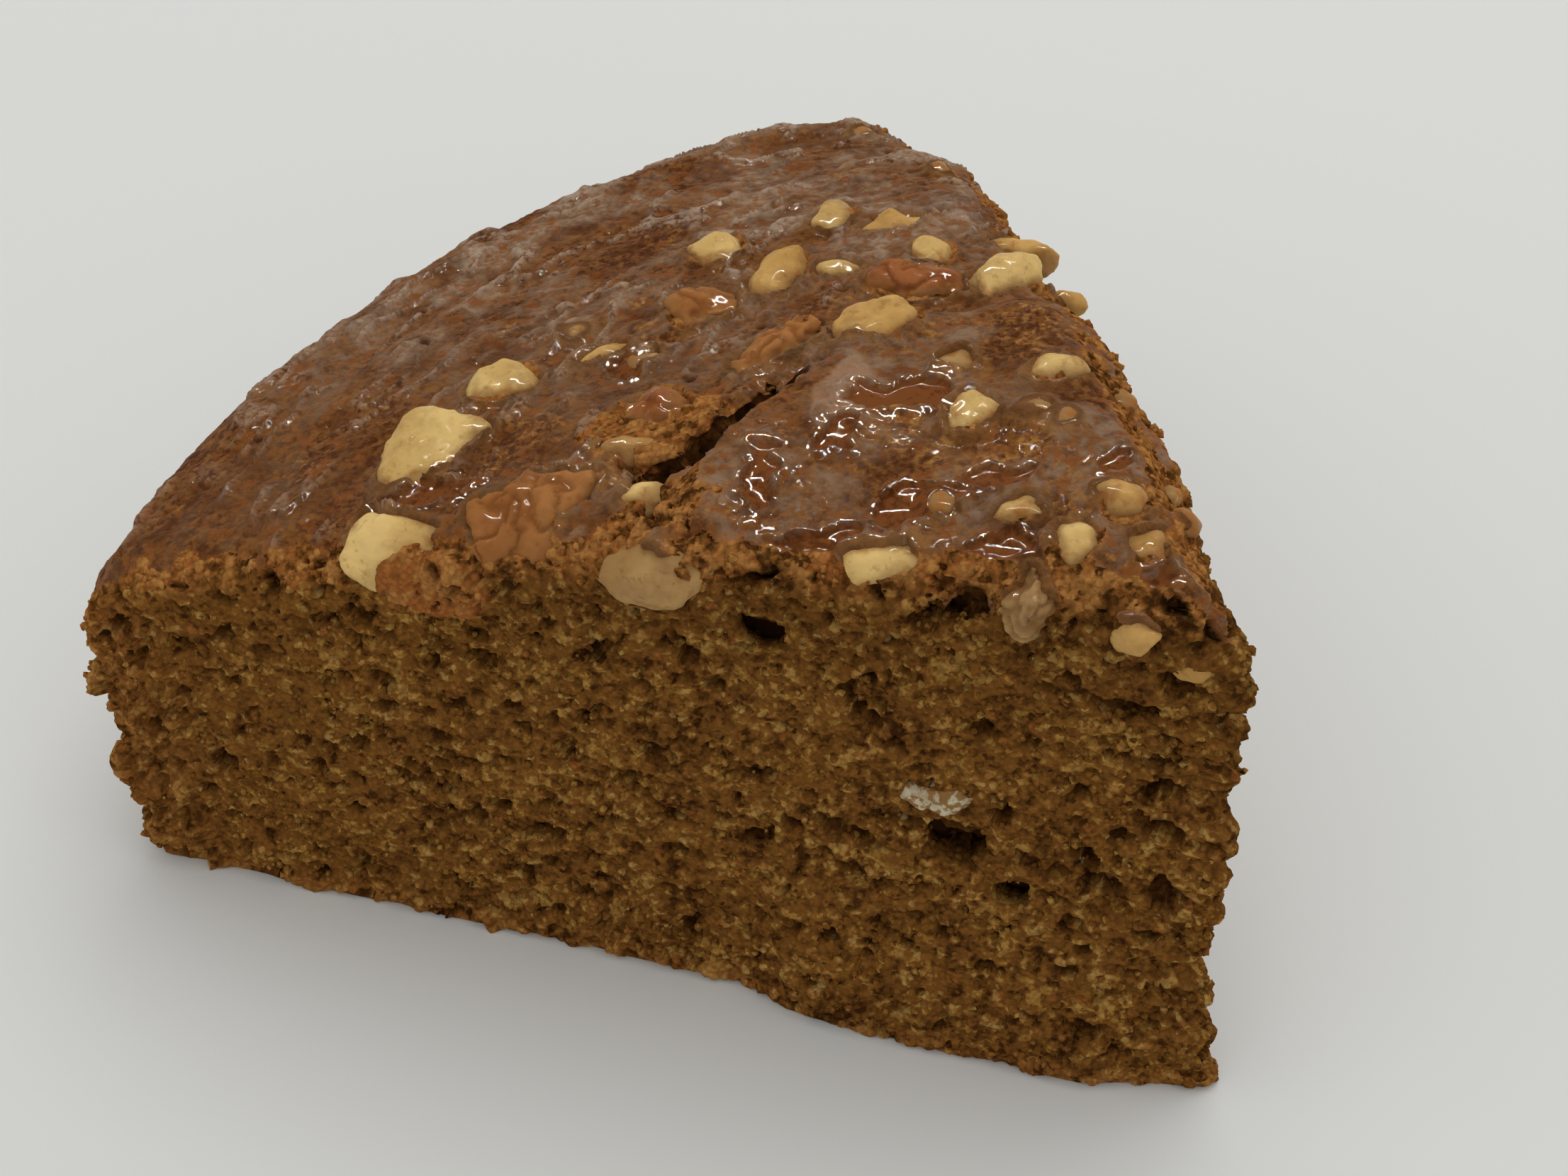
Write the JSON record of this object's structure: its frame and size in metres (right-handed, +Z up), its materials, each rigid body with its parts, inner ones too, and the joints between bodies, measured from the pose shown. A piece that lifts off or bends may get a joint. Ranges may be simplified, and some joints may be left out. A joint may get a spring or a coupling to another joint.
{
  "type": "coffee walnut cake slice",
  "caption": "Wedge cut from a round, domed coffee sponge cake, with chopped walnuts set in a glazed, cracked brown crust.",
  "frame": {"origin": "on the underside, below the middle of the slice's bounding box", "axes": "+X along the front cut towards the slice's tip, which is the longest extent; +Z up, the shortest extent; the front cut looks along -Y"},
  "size_m": [0.102, 0.0884, 0.0588],
  "materials": {
    "crumb": "open, moist sponge crumb, matt",
    "crust": "baked crust under a thin sticky glaze, satin",
    "glaze": "wet, clear brown glaze, glossy",
    "walnut_flesh": "cut walnut, creamy, faintly glossy with glaze",
    "walnut_skin": "walnut with its thin brown skin, faintly glossy with glaze"
  },
  "bodies": {
    "root": {"sponge": "crumb", "walnut_01": "walnut_flesh", "walnut_02": "walnut_flesh", "walnut_03": "walnut_skin", "walnut_04": "walnut_flesh", "walnut_05": "walnut_flesh", "walnut_06": "walnut_flesh", "walnut_07": "walnut_flesh", "walnut_08": "walnut_skin", "walnut_09": "walnut_flesh", "walnut_10": "walnut_skin", "walnut_11": "walnut_skin", "walnut_12": "walnut_flesh", "walnut_13": "walnut_flesh", "walnut_14": "walnut_skin", "walnut_15": "walnut_flesh", "walnut_16": "walnut_skin", "walnut_17": "walnut_skin", "walnut_18": "walnut_flesh", "walnut_19": "walnut_flesh", "walnut_20": "walnut_flesh", "walnut_21": "walnut_flesh", "walnut_22": "walnut_flesh", "walnut_23": "walnut_flesh", "walnut_24": "walnut_flesh", "walnut_25": "walnut_flesh", "walnut_26": "walnut_flesh", "walnut_27": "walnut_flesh", "walnut_28": "walnut_flesh", "walnut_29": "walnut_skin", "walnut_30": "walnut_flesh", "walnut_31": "walnut_skin", "walnut_32": "walnut_flesh", "walnut_33": "walnut_flesh", "walnut_34": "walnut_flesh"}
  },
  "joints": []
}
